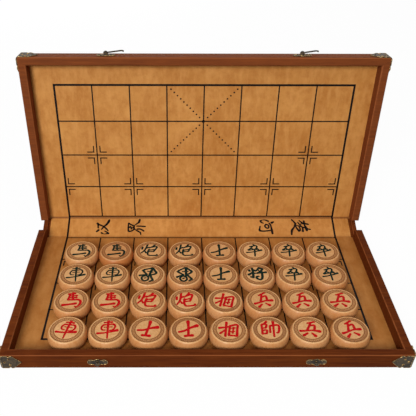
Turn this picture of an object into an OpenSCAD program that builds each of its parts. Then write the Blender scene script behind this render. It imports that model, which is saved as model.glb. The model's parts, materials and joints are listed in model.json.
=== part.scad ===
// Folding xiangqi box: two trays and a spine under one printed lining, with the 32 turned pieces.
// The origin is the middle of the base tray's underside, +Z is up and the front looks along -Y.

/* [Board] */
// Side of one square of the printed board
square = 43; // [42:0.5:50]
// Bare lining between an outer file and the side rail
side_margin = 23.5; // [16:0.5:36]
// Bare lining between the last rank and the front rail
front_margin = 25.2; // [16:0.2:36]
// Distance from a bank of the river to the fold beside it
bank_inset = 2.2; // [0.6:0.2:6]

/* [Trays] */
// Width of a rail
rail_w = 9; // [8:0.5:14]
// Height of a rail above the lining
rim_h = 14.4; // [11:0.2:24]
// Radius of a rail's long top edges
rail_round = 1.6; // [0.4:0.1:2.4]
// Radius of a tray's upright outer corners
corner_round = 2; // [0.5:0.1:4]
// Distance that the side rails stop short of the fold
fold_setback = 2.9; // [2.8:0.1:6]
// Radius of the top corner at a side rail's fold end
end_round = 2.6; // [0.5:0.1:5]
// Thickness of a tray panel and of the spine board
panel_t = 3.1; // [2:0.1:5]
// Width of the rebate that holds the edge of a panel
rebate_w = 4; // [2:0.5:5]
// Play between a panel's edge and its rebate
panel_play = 0.1; // [0.05:0.05:0.3]
// Thickness of the lining
liner_t = 0.6; // [0.4:0.1:1.2]

/* [Fold] */
// Slope of the spine above the table
spine_angle = 21; // [0:1:60]
// Slope of the lid above the table, 90 being upright
lid_angle = 84; // [60:1:100]
// Gap between the two rims when the box is shut
seam_gap = 0.4; // [0.2:0.1:1]
// Distance that each wooden board stops short of a fold line
board_gap = 0.2; // [0.1:0.05:0.6]
// Distance that the lining is scored away beside a fold line
crease_gap = 0.12; // [0.05:0.01:0.3]
// Width of the wood strip at each end of the spine
cheek_w = 5.5; // [3:0.5:6]
// Height of that strip above the lining
cheek_h = 2.4; // [1:0.1:2.6]
// Radius of its two long top edges
cheek_round = 0.8; // [0.2:0.1:1]
// Distance from a tray's outer face in to the end of the spine
cheek_inset = 2; // [1:0.5:3]
// Distance that the spine's lining ends inside the trays' lining
liner_reveal = 1.5; // [0.5:0.5:4]

/* [Pieces] */
// Largest diameter of a piece
piece_d = 41; // [38:0.5:42]
// Height of a piece
piece_h = 16; // [14:0.5:20]
// Diameter of the foot that a piece stands on
foot_d = 33; // [26:0.5:34]
// Height of the widest part of a piece
belly_z = 9; // [6:0.5:9.5]
// Diameter of the flat top of a piece
top_d = 36; // [32:0.5:37]
// Plain wood between the edge of the flat top and the engraved band
band_inset = 1.2; // [0.2:0.1:2]
// Width of the engraved band
band_w = 4; // [2:0.1:5]
// Width of the groove on each side of the band
groove_w = 0.5; // [0.3:0.1:0.9]
// Depth of those grooves
groove_depth = 0.3; // [0.2:0.1:0.6]
// Gap between neighbours in a row
piece_gap = 0.5; // [0.3:0.1:3]
// Gap between one row and the next
row_gap = 1.4; // [0.6:0.1:4]
// Gap between the first row and the front rail
front_gap = 3.4; // [1:0.1:6]
// Distance of each row to the right of the middle, from the back row to the front row
row_shift = [0.7, 0, 1.4, 3]; // [-4:0.1:4]

/* [Corner plates] */
// Thickness of the sheet metal
plate_t = 0.8; // [0.5:0.1:1.2]
// Length of a corner plate along each face
corner_len = 21.5; // [19:0.5:28]
// Distance from the corner to its notches and its two pierced holes
corner_body = 9.6; // [8:0.2:10]
// Distance from the corner to where it starts to taper
corner_shoulder = 12.8; // [12:0.2:14]
// Bare wood above and below a corner plate
corner_edge = 0.4; // [0.2:0.1:1]
// Distance from the corner to the plate's nail
corner_nail = 16.2; // [15:0.2:17]
// Radius of the notches in its upper and lower edge
notch_r = 1.3; // [0.6:0.1:1.6]
// Diameter of the pierced holes
pierced_d = 2.1; // [1:0.1:2.6]

/* [Latches] */
// Distance from the middle of the box to each latch
latch_x = 108; // [60:1:150]
// Distance from the lid's rim down to the hook's rivet
latch_drop = 8.5; // [6:0.1:9]
// Distance from the base's rim down to the stud of the catch
catch_drop = 9; // [6:0.1:9.5]
// Height of a wing plate
wing_h = 8.4; // [7:0.2:9]
// Distance from the middle of a wing plate to each nail
wing_nail = 6.6; // [6:0.1:9]
// Radius of the lobe round each nail
wing_lobe_r = 3.4; // [2.8:0.1:3.8]
// Width of a wing plate between its middle and its lobes
wing_waist = 6; // [3:0.2:6.4]
// Height of the boss under the hook
boss_h = 1.6; // [1:0.1:2.5]
// Diameter of that boss
boss_d = 4.6; // [4:0.1:6]
// Diameter of the rivet
rivet_d = 2.4; // [2:0.1:2.8]
// Diameter of the rivet's head and of the stud's head
head_d = 4.4; // [4:0.1:5.4]
// Height of those heads
head_h = 1.2; // [0.8:0.1:2]
// Diameter of the stud's neck
neck_d = 2; // [1.6:0.1:2.6]
// Thickness of the hook
hook_t = 1.3; // [0.8:0.1:1.8]
// Radius of the hook's eye
eye_r = 2.6; // [2.2:0.1:3.2]
// Width of the hook's arm
arm_w = 1.5; // [1.2:0.1:2.2]
// Room between the hook and the metal above and below it
hook_play = 0.15; // [0.1:0.05:0.3]
// Room round the rivet in the hook's eye
rivet_play = 0.08; // [0.05:0.01:0.1]
// Room round the neck in the hook's mouth
neck_play = 0.4; // [0.3:0.1:0.6]
// Angle at which the jaw of the hook ends beyond the stud
tip_angle = 28; // [10:1:32]
// Angle from the shut position to where the open hook rests
hook_rest = 112; // [60:1:112]

/* [Nails] */
// Diameter of a nail
nail_d = 1.2; // [0.9:0.1:1.5]
// Diameter of a nail's head
nail_head_d = 2.4; // [2:0.1:2.8]
// Height of a nail's head
nail_head_h = 0.7; // [0.4:0.1:1]
// Depth of a nail, rivet or stud in its rail
nail_depth = 5; // [3:0.5:7]
// Room round a nail, rivet or stud in its hole
nail_play = 0.05; // [0.02:0.01:0.1]

/* [Hidden] */
$fn = 64;
over = 1; // how far a cutting shape runs past what it cuts
files = 9; // lines from side to side of the board
ranks = 5; // lines on each half of it
columns = 8; // pieces in a row
tray_w = (files - 1) * square + 2 * side_margin + 2 * rail_w;
tray_d = (ranks - 1) * square + bank_inset + front_margin + rail_w;
lining_top = panel_t + liner_t;
tray_h = lining_top + rim_h;
fold_y = tray_d / 2;
spine_w = 2 * rim_h + seam_gap;
spine_half = tray_w / 2 - cheek_inset;
liner_half = tray_w / 2 - rail_w;
catch_z = tray_h - catch_drop;
latch_z = tray_h - latch_drop;
nail_hole_r = nail_d / 2 + nail_play;
eye_z = plate_t + boss_h + hook_play; // underside of the hook above the rail's face
head_z = eye_z + hook_t + hook_play; // underside of the heads above the rail's face
reach = latch_drop + seam_gap + catch_drop; // rivet to stud when the box is shut
mouth_r = neck_d / 2 + neck_play;

base_nodes = ["base_panel", "base_front_rail", "base_left_rail", "base_right_rail", "base_liner",
    "corner_base_left", "corner_base_right", "catch_left", "catch_right", "base_nails"];
spine_nodes = ["spine_board", "spine_cheek_left", "spine_cheek_right", "spine_liner"];
lid_nodes = ["lid_panel", "lid_front_rail", "lid_left_rail", "lid_right_rail", "lid_liner",
    "corner_lid_left", "corner_lid_right", "latch_plate_left", "latch_plate_right",
    "latch_rivet_left", "latch_rivet_right", "lid_nails"];
hook_nodes = ["latch_hook_left", "latch_hook_right"];
// The pieces as they lie in the tray, from the back row to the front row and from left to right
piece_nodes = [
    "green_horse_1", "green_horse_2", "green_cannon_1", "green_cannon_2",
    "green_advisor_1", "green_soldier_1", "green_soldier_2", "green_soldier_3",
    "green_chariot_1", "green_chariot_2", "green_elephant_1", "green_elephant_2",
    "green_advisor_2", "green_general", "green_soldier_4", "green_soldier_5",
    "red_horse_1", "red_horse_2", "red_cannon_1", "red_cannon_2",
    "red_elephant_1", "red_soldier_1", "red_soldier_2", "red_soldier_3",
    "red_chariot_1", "red_chariot_2", "red_advisor_1", "red_advisor_2",
    "red_elephant_2", "red_general", "red_soldier_4", "red_soldier_5"];
rows = len(piece_nodes) / columns;

rail_colour = "sienna";
panel_colour = "peru";
liner_colour = "sandybrown";
bronze_colour = "darkolivegreen";
piece_colour = "burlywood";

// Frames. A tray's own frame has its fold at y = 0, its front at y = tray_d and its outer face at z = 0.
module in_base() {
    translate([0, fold_y, 0]) mirror([0, 1, 0]) children();
}

// The spine's own frame starts at the base's fold, with z = 0 on the face of the lining
module in_spine() {
    translate([0, fold_y, lining_top]) rotate([spine_angle, 0, 0]) children();
}

module in_lid() {
    translate([0, fold_y + spine_w * cos(spine_angle), lining_top + spine_w * sin(spine_angle)])
        rotate([lid_angle, 0, 0]) translate([0, 0, -lining_top]) children();
}

// Puts what is drawn flat, with z outwards and y towards the rim, on the front face of a tray at x and z
module on_front(x, z) {
    translate([x, tray_d, z]) mirror([0, 0, 1]) rotate([90, 0, 0]) mirror([0, 0, 1])
        mirror([0, 1, 0]) children();
}

// Outline of a tray from its fold to its front, grown by a sheet's thickness
module tray_outline(grow) {
    half = tray_w / 2 + grow;
    depth = tray_d + grow;
    r = corner_round + grow;
    translate([-half, 0]) square([2 * half, depth - r]);
    translate([r - half, 0]) square([2 * (half - r), depth]);
    for (side = [-1, 1]) translate([side * (half - r), depth - r]) circle(r);
}

// Rails. The section runs inwards from the outer face and up from the underside.
module rail_section() {
    difference() {
        union() {
            square([rail_w, tray_h - rail_round]);
            translate([rail_round, 0]) square([rail_w - 2 * rail_round, tray_h]);
            for (u = [rail_round, rail_w - rail_round])
                translate([u, tray_h - rail_round]) circle(rail_round);
        }
        translate([rail_w - rebate_w, -over]) square([rebate_w + over, panel_t + over]);
    }
}

// Plan of the front rail, cut at 45 degrees at both ends
module front_plan() {
    intersection() {
        tray_outline(0);
        polygon([[-tray_w / 2, tray_d], [tray_w / 2, tray_d],
            [tray_w / 2 - rail_w, tray_d - rail_w], [rail_w - tray_w / 2, tray_d - rail_w]]);
    }
}

// Round holes in the front face, each with its depth in the rail
module front_hole(x, z, r) {
    translate([x, tray_d + over, z]) rotate([90, 0, 0]) cylinder(h = nail_depth + over, r = r);
}

// The front rail, drilled for its corner nails and for two wing plates at height z
module front_rail(z, middle_d) {
    difference() {
        intersection() {
            translate([-tray_w / 2, tray_d, 0]) mirror([0, 1, 0]) rotate([90, 0, 90])
                linear_extrude(tray_w) rail_section();
            translate([0, 0, -over]) linear_extrude(tray_h + 2 * over) front_plan();
        }
        for (side = [-1, 1]) {
            front_hole(side * (tray_w / 2 - corner_nail), tray_h / 2, nail_hole_r);
            front_hole(side * latch_x, z, middle_d / 2 + nail_play);
            for (wing = [-1, 1])
                front_hole(side * latch_x + wing * wing_nail, z, nail_hole_r);
        }
    }
}

// Side view of a side rail, with its fold end rounded at the top
module side_elevation() {
    translate([fold_setback, -over]) square([tray_d, tray_h + over - end_round]);
    translate([fold_setback + end_round, -over]) square([tray_d, tray_h + 2 * over]);
    translate([fold_setback + end_round, tray_h - end_round]) circle(end_round);
}

// The left side rail; the right one is its mirror image
module side_rail() {
    difference() {
        intersection() {
            translate([-tray_w / 2, tray_d, 0]) rotate([90, 0, 0])
                linear_extrude(tray_d - fold_setback) rail_section();
            translate([-tray_w / 2 - over, 0, 0]) rotate([90, 0, 90])
                linear_extrude(rail_w + 2 * over) side_elevation();
            translate([0, 0, -over]) linear_extrude(tray_h + 2 * over) difference() {
                tray_outline(0);
                polygon([[-tray_w / 2 - over, tray_d + over], [tray_w / 2, tray_d + over],
                    [tray_w / 2, tray_d - rail_w], [rail_w - tray_w / 2, tray_d - rail_w]]);
            }
        }
        translate([-tray_w / 2 - over, tray_d - corner_nail, tray_h / 2]) rotate([0, 90, 0])
            cylinder(h = nail_depth + over, r = nail_hole_r);
    }
}

// Boards and lining
module tray_panel() {
    grip = rebate_w - panel_play;
    translate([-liner_half - grip, board_gap, 0])
        cube([2 * (liner_half + grip), tray_d - rail_w + grip - board_gap, panel_t]);
}

module tray_liner() {
    translate([-liner_half, crease_gap, panel_t])
        cube([2 * liner_half, tray_d - rail_w - crease_gap, liner_t]);
}

module base_panel() { color(panel_colour) in_base() tray_panel(); }
module base_liner() { color(liner_colour) in_base() tray_liner(); }
module lid_panel() { color(panel_colour) in_lid() tray_panel(); }
module lid_liner() { color(liner_colour) in_lid() tray_liner(); }

module base_front_rail() { color(rail_colour) in_base() front_rail(catch_z, neck_d); }
module base_left_rail() { color(rail_colour) in_base() side_rail(); }
module base_right_rail() { color(rail_colour) in_base() mirror([1, 0, 0]) side_rail(); }
module lid_front_rail() { color(rail_colour) in_lid() front_rail(latch_z, rivet_d); }
module lid_left_rail() { color(rail_colour) in_lid() side_rail(); }
module lid_right_rail() { color(rail_colour) in_lid() mirror([1, 0, 0]) side_rail(); }

module spine_board() {
    color(panel_colour) in_spine() translate([-spine_half, board_gap, -lining_top])
        cube([2 * spine_half, spine_w - 2 * board_gap, panel_t]);
}

module spine_liner() {
    half = liner_half - liner_reveal;
    color(liner_colour) in_spine() translate([-half, crease_gap, -liner_t])
        cube([2 * half, spine_w - 2 * crease_gap, liner_t]);
}

// The right-hand strip, with its two top edges rounded
module cheek() {
    r = cheek_round;
    translate([spine_half - cheek_w, board_gap, -liner_t]) rotate([-90, 0, 0])
        linear_extrude(spine_w - 2 * board_gap) mirror([0, 1]) {
            square([cheek_w, liner_t + cheek_h - r]);
            translate([r, 0]) square([cheek_w - 2 * r, liner_t + cheek_h]);
            for (u = [r, cheek_w - r]) translate([u, liner_t + cheek_h - r]) circle(r);
        }
}

module spine_cheek_left() { color(rail_colour) in_spine() mirror([1, 0, 0]) cheek(); }
module spine_cheek_right() { color(rail_colour) in_spine() cheek(); }

// Corner plates. The leaf is the outline of one flap, from the wood's corner at x = 0 to its tip.
module corner_leaf() {
    h = tray_h - 2 * corner_edge;
    difference() {
        polygon([[-plate_t, 0], [corner_shoulder, 0], [corner_len, h / 2], [corner_shoulder, h],
            [-plate_t, h]]);
        for (y = [0, h]) translate([corner_body, y]) circle(notch_r);
        for (y = [h / 4, 3 * h / 4]) translate([corner_body, y]) circle(pierced_d / 2);
        translate([corner_body / 2, h / 2]) circle(pierced_d / 2);
        translate([corner_nail, h / 2]) circle(nail_hole_r);
    }
}

// The right-hand corner plate: a bent sheet cut to a leaf on the front and on the side
module corner_plate() {
    intersection() {
        linear_extrude(tray_h) difference() {
            tray_outline(plate_t);
            tray_outline(0);
        }
        union() {
            translate([tray_w / 2, tray_d - corner_round, corner_edge]) mirror([1, 0, 0])
                rotate([90, 0, 0]) mirror([0, 0, 1])
                linear_extrude(corner_round + plate_t + over) corner_leaf();
            translate([tray_w / 2 - corner_round, tray_d, corner_edge]) mirror([0, 1, 0])
                rotate([90, 0, 90]) linear_extrude(corner_round + plate_t + over) corner_leaf();
        }
    }
}

module corner_base_left() { color(bronze_colour) in_base() mirror([1, 0, 0]) corner_plate(); }
module corner_base_right() { color(bronze_colour) in_base() corner_plate(); }
module corner_lid_left() { color(bronze_colour) in_lid() mirror([1, 0, 0]) corner_plate(); }
module corner_lid_right() { color(bronze_colour) in_lid() corner_plate(); }

// A round domed head on the plane z = 0
module dome(d, h) {
    r = (d * d / 4 + h * h) / (2 * h);
    rotate_extrude() intersection() {
        translate([0, h - r]) circle(r);
        square([d / 2, h]);
    }
}

// Wing plate: a middle disc and two nailed lobes, flat on z = 0
module wing_plate(middle_hole_d) {
    linear_extrude(plate_t) difference() {
        union() {
            circle(wing_h / 2);
            for (side = [-1, 1]) translate([side * wing_nail, 0]) circle(wing_lobe_r);
            translate([-wing_nail, -wing_waist / 2]) square([2 * wing_nail, wing_waist]);
        }
        if (middle_hole_d > 0) circle(middle_hole_d / 2 + nail_play);
        for (side = [-1, 1]) translate([side * wing_nail, 0]) circle(nail_hole_r);
    }
}

// The catch is the plate with its headed stud, riveted into the rail
module catch() {
    wing_plate(0);
    translate([0, 0, -nail_depth]) cylinder(h = nail_depth + head_z, d = neck_d);
    translate([0, 0, head_z]) dome(head_d, head_h);
}

module catch_left() { color(bronze_colour) in_base() on_front(-latch_x, catch_z) catch(); }
module catch_right() { color(bronze_colour) in_base() on_front(latch_x, catch_z) catch(); }

// The latch plate carries a raised boss, and the rivet goes down through both
module latch_plate() {
    wing_plate(rivet_d);
    translate([0, 0, plate_t]) difference() {
        cylinder(h = boss_h, d = boss_d);
        translate([0, 0, -over]) cylinder(h = boss_h + 2 * over, d = rivet_d + 2 * nail_play);
    }
}

module latch_rivet() {
    translate([0, 0, -nail_depth]) cylinder(h = nail_depth + head_z, d = rivet_d);
    translate([0, 0, head_z]) dome(head_d, head_h);
}

module latch_plate_left() {
    color(bronze_colour) in_lid() on_front(-latch_x, latch_z) latch_plate();
}

module latch_plate_right() {
    color(bronze_colour) in_lid() on_front(latch_x, latch_z) latch_plate();
}

module latch_rivet_left() {
    color(bronze_colour) in_lid() on_front(-latch_x, latch_z) latch_rivet();
}

module latch_rivet_right() {
    color(bronze_colour) in_lid() on_front(latch_x, latch_z) latch_rivet();
}

// The hook in its own plane: the eye at the origin, the mouth round the stud at x = reach, open towards +y.
// The arm runs straight from the eye and meets the middle line of the jaw as its tangent.
module hook_outline() {
    jaw_r = mouth_r + arm_w;
    middle_r = mouth_r + arm_w / 2;
    lean = asin(middle_r / reach);
    back_angle = -90 - lean;
    far = 3 * jaw_r; // well outside the jaw, for the wedge that cuts it off
    difference() {
        union() {
            circle(eye_r);
            rotate(-lean) translate([0, -arm_w / 2]) square([reach * cos(lean), arm_w]);
            translate([reach, 0]) intersection() {
                difference() {
                    circle(jaw_r);
                    circle(mouth_r);
                }
                polygon([[0, 0], for (a = [back_angle, (back_angle + tip_angle) / 2, tip_angle])
                    [far * cos(a), far * sin(a)]]);
            }
            for (a = [back_angle, tip_angle])
                translate([reach + middle_r * cos(a), middle_r * sin(a)]) circle(arm_w / 2);
        }
        circle(rivet_d / 2 + rivet_play);
    }
}

module latch_hook(side) {
    color(bronze_colour) in_lid() on_front(side * latch_x, latch_z)
        rotate([0, 0, 90 - hook_rest]) translate([0, 0, eye_z]) linear_extrude(hook_t) hook_outline();
}

module latch_hook_left() { latch_hook(-1); }
module latch_hook_right() { latch_hook(1); }

// Nails
module nail(seat) {
    translate([0, 0, -nail_depth]) cylinder(h = nail_depth + seat, d = nail_d);
    translate([0, 0, seat]) dome(nail_head_d, nail_head_h);
}

// All the nails of a tray whose wing plates sit at height z
module tray_nails(z) {
    for (side = [-1, 1]) {
        on_front(side * (tray_w / 2 - corner_nail), tray_h / 2) nail(plate_t);
        for (wing = [-1, 1]) on_front(side * latch_x + wing * wing_nail, z) nail(plate_t);
        translate([side * tray_w / 2, tray_d - corner_nail, tray_h / 2])
            rotate([0, side * 90, 0]) nail(plate_t);
    }
}

module base_nails() { color(bronze_colour) in_base() tray_nails(catch_z); }
module lid_nails() { color(bronze_colour) in_lid() tray_nails(latch_z); }

// Half section of a drum from one end, of radius end_r at z = 0, to its widest part at z = rise
module barrel_half(end_r, rise) {
    flare = piece_d / 2 - end_r;
    side_r = (flare * flare + rise * rise) / (2 * flare);
    square([end_r, rise]);
    intersection() {
        translate([piece_d / 2 - side_r, rise]) circle(side_r);
        square([piece_d / 2, rise]);
    }
}

// A turned piece: a drum with a round belly, and two grooves beside the band on its flat top
module turned_piece() {
    top_r = top_d / 2;
    difference() {
        rotate_extrude() {
            barrel_half(foot_d / 2, belly_z);
            translate([0, piece_h]) mirror([0, 1]) barrel_half(top_r, piece_h - belly_z);
        }
        for (r = [top_r - band_inset, top_r - band_inset - band_w + groove_w])
            translate([0, 0, piece_h - groove_depth]) rotate_extrude()
                translate([r - groove_w, 0]) square([groove_w, groove_depth + over]);
    }
}

// The place of a piece in the tray, counted from the back row and from the left
function piece_place(i) = let (row = floor(i / columns), column = i % columns)
    [(column - (columns - 1) / 2) * (piece_d + piece_gap) + row_shift[row],
     -tray_d / 2 + rail_w + front_gap + piece_d / 2 + (rows - 1 - row) * (piece_d + row_gap), lining_top];

module piece(i) { color(piece_colour) translate(piece_place(i)) turned_piece(); }

base_panel();
base_front_rail();
base_left_rail();
base_right_rail();
base_liner();
corner_base_left();
corner_base_right();
catch_left();
catch_right();
base_nails();
spine_board();
spine_cheek_left();
spine_cheek_right();
spine_liner();
lid_panel();
lid_front_rail();
lid_left_rail();
lid_right_rail();
lid_liner();
corner_lid_left();
corner_lid_right();
latch_plate_left();
latch_plate_right();
latch_rivet_left();
latch_rivet_right();
lid_nails();
latch_hook_left();
latch_hook_right();
for (i = [0 : len(piece_nodes) - 1])
    piece(i);
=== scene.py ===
"""A folding xiangqi box, open on a table: printed lining, bronze fittings and the 32 turned pieces."""
import json
import math

import bpy
import bmesh
from mathutils import Matrix, Vector
from mathutils.geometry import delaunay_2d_cdt

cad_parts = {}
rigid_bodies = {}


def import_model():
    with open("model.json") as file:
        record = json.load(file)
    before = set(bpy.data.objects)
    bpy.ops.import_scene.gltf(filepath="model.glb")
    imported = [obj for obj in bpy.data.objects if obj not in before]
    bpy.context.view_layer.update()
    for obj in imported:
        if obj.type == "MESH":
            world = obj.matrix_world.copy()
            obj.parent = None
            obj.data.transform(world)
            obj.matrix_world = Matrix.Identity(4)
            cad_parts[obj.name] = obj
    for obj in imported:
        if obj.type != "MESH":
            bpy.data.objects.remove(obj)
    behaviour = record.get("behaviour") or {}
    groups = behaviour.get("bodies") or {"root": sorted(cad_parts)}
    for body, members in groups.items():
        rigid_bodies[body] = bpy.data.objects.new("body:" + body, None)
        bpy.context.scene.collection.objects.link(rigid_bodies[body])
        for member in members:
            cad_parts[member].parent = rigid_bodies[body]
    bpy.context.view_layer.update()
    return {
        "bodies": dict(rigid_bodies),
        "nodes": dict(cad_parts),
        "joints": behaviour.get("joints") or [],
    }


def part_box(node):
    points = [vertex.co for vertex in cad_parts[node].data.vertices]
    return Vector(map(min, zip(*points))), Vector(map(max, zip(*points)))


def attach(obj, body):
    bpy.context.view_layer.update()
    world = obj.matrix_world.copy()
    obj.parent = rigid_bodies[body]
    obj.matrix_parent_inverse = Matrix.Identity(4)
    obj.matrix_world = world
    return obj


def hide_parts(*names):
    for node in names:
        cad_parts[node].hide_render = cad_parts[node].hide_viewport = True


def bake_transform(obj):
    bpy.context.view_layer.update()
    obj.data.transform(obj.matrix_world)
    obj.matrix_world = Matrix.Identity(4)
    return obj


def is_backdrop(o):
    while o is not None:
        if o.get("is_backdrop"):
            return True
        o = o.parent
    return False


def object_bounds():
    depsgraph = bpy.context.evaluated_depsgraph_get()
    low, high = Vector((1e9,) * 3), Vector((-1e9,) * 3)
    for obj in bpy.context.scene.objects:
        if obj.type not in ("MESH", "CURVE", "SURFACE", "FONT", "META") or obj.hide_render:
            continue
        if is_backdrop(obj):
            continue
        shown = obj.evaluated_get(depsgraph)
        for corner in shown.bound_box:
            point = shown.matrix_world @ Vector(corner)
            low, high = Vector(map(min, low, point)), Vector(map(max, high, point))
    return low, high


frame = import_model()
MM = 0.001

# Camera
# It stands in front of the box, a little left of its middle, and looks down at the spread board.
# The shift only moves the picture's frame over the object.
def put_in_scene(name, data):
    """A new object of the scene that shows this data."""
    made = bpy.data.objects.new(name, data)
    bpy.context.scene.collection.objects.link(made)
    return made


HEADING, LOOK_DOWN, ROLL = (math.radians(a) for a in (-0.32, 38.82, 0.21))
camera = bpy.data.cameras.new("camera")
camera.lens, camera.sensor_width = 48.2, 36
camera.shift_x, camera.shift_y = 0.0678, 0.0937
camera.clip_start, camera.clip_end = 0.01, 50
camera_object = put_in_scene("camera", camera)
camera_object.location = Vector((-29.3, -461.8, 442.1)) * MM
look = Matrix.Rotation(HEADING, 4, "Z") @ Matrix.Rotation(math.pi / 2 - LOOK_DOWN, 4, "X")
camera_object.rotation_euler = (look @ Matrix.Rotation(ROLL, 4, "Z")).to_euler()
bpy.context.scene.camera = camera_object


# Table, backdrop and light
# A white table under wide soft lamps. The world is plain white where the camera, gloss or glass sees it.
def node(tree, kind, inputs=None, **settings):
    """Adds a node, sets it, and fills or links its inputs. A node given as an input stands for its first output."""
    made = tree.nodes.new(kind)
    for name, value in settings.items():
        setattr(made, name, value)
    for key, value in (inputs or {}).items():
        if isinstance(value, bpy.types.Node):
            value = value.outputs[0]
        if isinstance(value, bpy.types.NodeSocket):
            tree.links.new(value, made.inputs[key])
        else:
            made.inputs[key].default_value = value
    return made


def maths(tree, operation, a, b):
    return node(tree, "ShaderNodeMath", {0: a, 1: b}, operation=operation)


def seen_ray(tree):
    """1 where the camera, a reflection or glass looks, 0 for light that falls on the object."""
    path = node(tree, "ShaderNodeLightPath").outputs
    either = maths(tree, "MAXIMUM", path["Is Camera Ray"], path["Is Glossy Ray"])
    return maths(tree, "MAXIMUM", either, path["Is Transmission Ray"])


AMBIENT = 0.24  # the strength at which the white world lights the object
world = bpy.data.worlds.new("studio")
world.use_nodes = True
tree = world.node_tree
tree.nodes.clear()
strength = node(tree, "ShaderNodeMapRange", {"Value": seen_ray(tree), "To Min": AMBIENT, "To Max": 1.0})
sky = node(tree, "ShaderNodeBackground", {"Color": (1, 1, 1, 1), "Strength": strength})
node(tree, "ShaderNodeOutputWorld", {"Surface": sky})
bpy.context.scene.world = world
bpy.context.scene.view_settings.view_transform = "Standard"


def new_material(name):
    """An empty material with its tree, and the output left for finish_material."""
    made = bpy.data.materials.new(name)
    made.use_nodes = True
    made.node_tree.nodes.clear()
    return made, made.node_tree


WHITENESS = 0.965  # the share of the table that is plain white: the rest takes the shadow
table_white, tree = new_material("table_white")
matt = node(tree, "ShaderNodeBsdfDiffuse", {"Color": (0.9, 0.9, 0.9, 1)})
glow = node(tree, "ShaderNodeEmission", {"Color": (1, 1, 1, 1), "Strength": seen_ray(tree)})
both = node(tree, "ShaderNodeMixShader", {0: WHITENESS, 1: matt, 2: glow})
node(tree, "ShaderNodeOutputMaterial", {"Surface": both})


def mesh_object(name, points, faces, materials, kinds=None, smooth=False, edges=()):
    """A mesh from points in millimetres, with a material number and a smooth flag for each face."""
    mesh = bpy.data.meshes.new(name)
    mesh.from_pydata([tuple(c * MM for c in p) for p in points], edges, faces)
    for m in materials:
        mesh.materials.append(m)
    if kinds:
        mesh.polygons.foreach_set("material_index", kinds)
    flags = [smooth] * len(faces) if isinstance(smooth, bool) else smooth
    mesh.polygons.foreach_set("use_smooth", flags)
    mesh.update()
    return put_in_scene(name, mesh)


TABLE_HALF, TABLE_Z = 4000, -0.05
corners = [(x * TABLE_HALF, y * TABLE_HALF, TABLE_Z) for x, y in ((-1, -1), (1, -1), (1, 1), (-1, 1))]
table = mesh_object("table", corners, [(0, 1, 2, 3)], [table_white])
table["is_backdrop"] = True

LIT_POINT = Vector((0, 50, 60)) * MM  # about the middle of the spread box
for name, place, size, power in (
        ("lamp_over", (500, -100, 1300), 1.0, 3.6), ("lamp_front", (-600, -1380, 1000), 0.7, 29.6),
        ("lamp_back", (-500, 1600, 320), 1.0, 12.0)):
    lamp = bpy.data.lights.new(name, "AREA")
    lamp.shape, lamp.size, lamp.energy = "DISK", size, power
    lamp_object = put_in_scene(name, lamp)
    lamp_object.location = Vector(place) * MM
    lamp_object.rotation_mode = "QUATERNION"
    lamp_object.rotation_quaternion = (LIT_POINT - lamp_object.location).to_track_quat("-Z", "Y")
    # The lamp behind lights the lid's back without a glare on its top edge
    lamp_object.visible_glossy = name != "lamp_back"


# Rails, boards and cheeks
# The trays are hardwood rails mitred at the front corners, with thin boards let into their undersides.
# All of it is stained red-brown and lacquered, and the stain is rubbed thin along the edges.
def colour(r, g, b):
    """A colour as seen on a screen, 0 to 255, as the shader's linear values."""
    return tuple(((c / 255 + 0.055) / 1.055) ** 2.4 if c > 10 else c / 255 / 12.92 for c in (r, g, b)) + (1,)


joints = {j["name"]: j for j in frame["joints"]}
fold_1, fold_2 = (Vector(joints[name]["pos_m"]) / MM for name in ("base_fold", "lid_fold"))
spine_slope = math.radians(joints["base_fold"]["range_deg"][1])
lid_slope = spine_slope + math.radians(joints["lid_fold"]["range_deg"][1])


def blend_colour(tree, factor, a, b):
    """Colour a where factor is 0 and b where it is 1."""
    return node(tree, "ShaderNodeMix", {"Factor": factor, 6: a, 7: b}, data_type="RGBA").outputs[2]


def ramp(tree, value, low, high, to_low=0.0, to_high=1.0):
    """Value stretched from low..high to to_low..to_high, and held at both ends."""
    return node(tree, "ShaderNodeMapRange", {
        "Value": value, "From Min": low, "From Max": high, "To Min": to_low, "To Max": to_high})


def noise(tree, vector, scale, detail=4.0, roughness=0.55):
    return node(tree, "ShaderNodeTexNoise", {
        "Vector": vector, "Scale": scale, "Detail": detail, "Roughness": roughness}).outputs["Fac"]


def placed(tree, scale=(1, 1, 1), slope=0.0, turn=0.0, socket="Object", kind="POINT"):
    """Object coordinates turned into a tray's own slope, then stretched."""
    where = node(tree, "ShaderNodeTexCoord").outputs[socket]
    level = node(tree, "ShaderNodeMapping", {"Vector": where, "Rotation": (-slope, 0, 0)}, vector_type=kind)
    return node(tree, "ShaderNodeMapping", {"Vector": level, "Rotation": (0, 0, turn), "Scale": scale},
                vector_type=kind)


def tinted(tree, body, value, low, high, most, tint):
    """Body with a tint over it, which grows to the share most as value goes from low to high."""
    return blend_colour(tree, ramp(tree, value, low, high, 0, most), body, colour(*tint))


def finish_material(tree, body, roughness, bump, depth, specular=0.5, metallic=0.0):
    """Ends the tree in a shader of this colour, with a bump as high as depth in millimetres."""
    dent = node(tree, "ShaderNodeBump", {"Height": bump, "Distance": depth * MM})
    shade = node(tree, "ShaderNodeBsdfPrincipled", {
        "Base Color": body, "Roughness": roughness, "Specular IOR Level": specular, "Metallic": metallic,
        "Normal": dent})
    node(tree, "ShaderNodeOutputMaterial", {"Surface": shade})


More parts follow.
